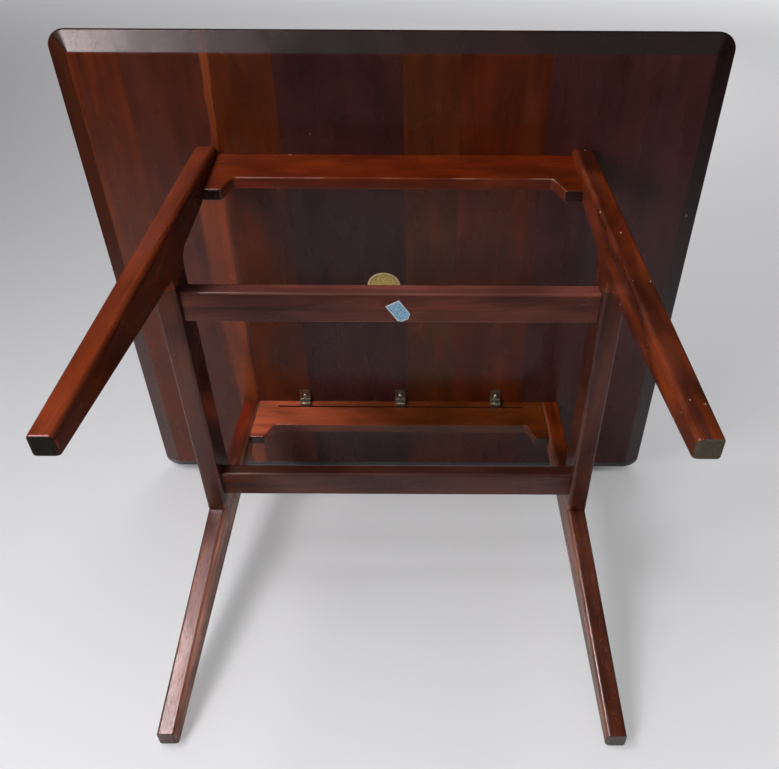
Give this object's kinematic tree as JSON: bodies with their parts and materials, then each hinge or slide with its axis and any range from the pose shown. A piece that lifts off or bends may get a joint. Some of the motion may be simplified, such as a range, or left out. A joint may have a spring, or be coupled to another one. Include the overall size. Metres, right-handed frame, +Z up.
{
  "type": "square side table",
  "caption": "Square side table in dark rosewood: bevelled solid top clipped to haunched aprons, on two splayed side frames whose legs taper from a knee, tied by flat cross rails.",
  "frame": {"origin": "on the floor, below the middle of the top", "axes": "+Z up; X left to right across the table, square to the leaning side frames; -Y is the front"},
  "size_m": [0.75, 0.75, 0.5],
  "materials": {
    "top_rosewood": "satin oiled rosewood, dark brown boards",
    "leg_rosewood": "satin oiled rosewood, red brown",
    "rail_rosewood": "satin oiled rosewood, dark brown",
    "apron_rosewood": "satin oiled rosewood, red brown",
    "clip_steel": "dull plated steel, aged",
    "screw_steel": "plated steel",
    "disc_gilt": "dull gilt, plain",
    "tag_paper": "matt paper, blank"
  },
  "bodies": {
    "root": {"tabletop": "top_rosewood", "leg_front_left": "leg_rosewood", "leg_front_right": "leg_rosewood", "leg_back_left": "leg_rosewood", "leg_back_right": "leg_rosewood", "side_rail_left": "rail_rosewood", "side_rail_right": "rail_rosewood", "cross_rail_front": "rail_rosewood", "cross_rail_back": "rail_rosewood", "apron_front": "apron_rosewood", "apron_back": "apron_rosewood", "clip_front_left": "clip_steel", "clip_front_middle": "clip_steel", "clip_front_right": "clip_steel", "clip_back_left": "clip_steel", "clip_back_middle": "clip_steel", "clip_back_right": "clip_steel", "screw_front_left": "screw_steel", "screw_front_middle": "screw_steel", "screw_front_right": "screw_steel", "screw_back_left": "screw_steel", "screw_back_middle": "screw_steel", "screw_back_right": "screw_steel", "label_disc": "disc_gilt", "paper_tag": "tag_paper"}
  },
  "joints": []
}
